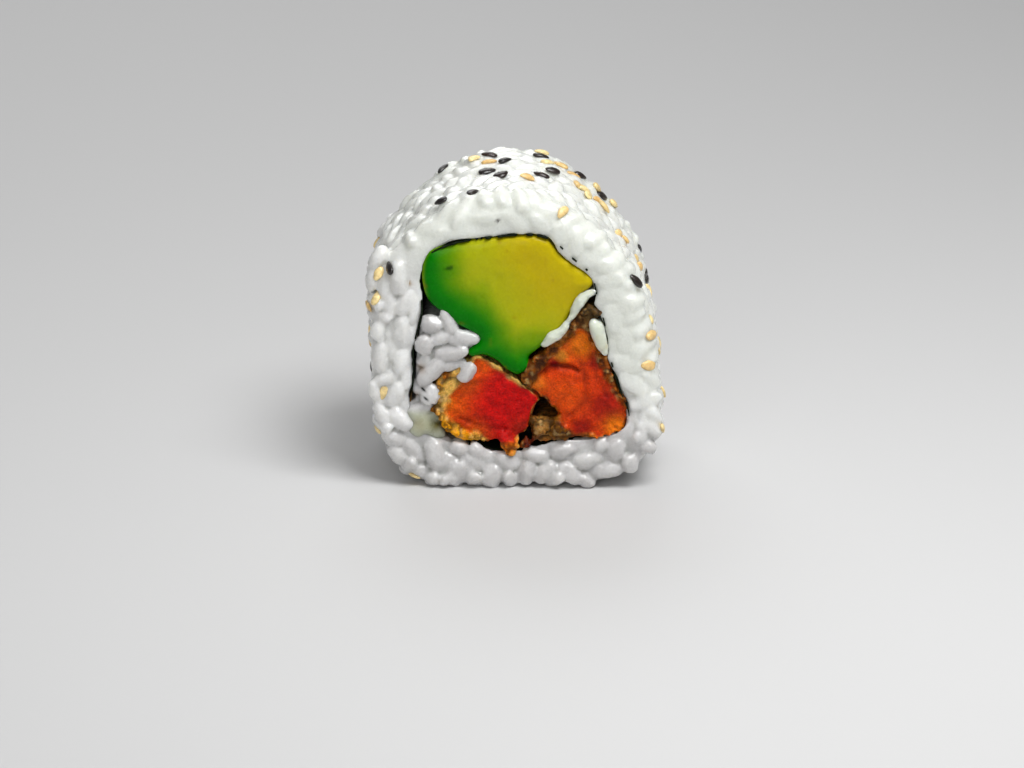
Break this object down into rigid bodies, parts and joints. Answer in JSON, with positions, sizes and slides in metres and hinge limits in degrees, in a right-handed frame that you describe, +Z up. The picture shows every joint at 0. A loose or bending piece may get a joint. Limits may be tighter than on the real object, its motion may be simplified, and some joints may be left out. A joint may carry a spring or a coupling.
{
  "type": "uramaki roll",
  "caption": "Thick slice of an inside-out sushi roll: rice outside with sesame, seaweed inside round avocado, battered sweet potato and cream. Stands on its flattened side.",
  "frame": {"origin": "under the middle of the slice, on the surface that it stands on", "axes": "+Z up, Y along the roll's axis, with the cut face that the picture shows towards -Y, X across the roll"},
  "size_m": [0.051, 0.031, 0.0518],
  "materials": {
    "rice": "moist cooked rice",
    "nori": "moist seaweed sheet",
    "avocado": "moist cut fruit",
    "sweet_potato": "moist cooked flesh with rough fried batter",
    "cream": "glossy soft cream"
  },
  "bodies": {
    "root": {"rice": "rice", "inner_rice": "rice", "nori": "nori", "avocado": "avocado", "sweet_potato_left": "sweet_potato", "sweet_potato_right": "sweet_potato", "cream_ribbon": "cream", "cream_blob": "cream"}
  },
  "joints": []
}
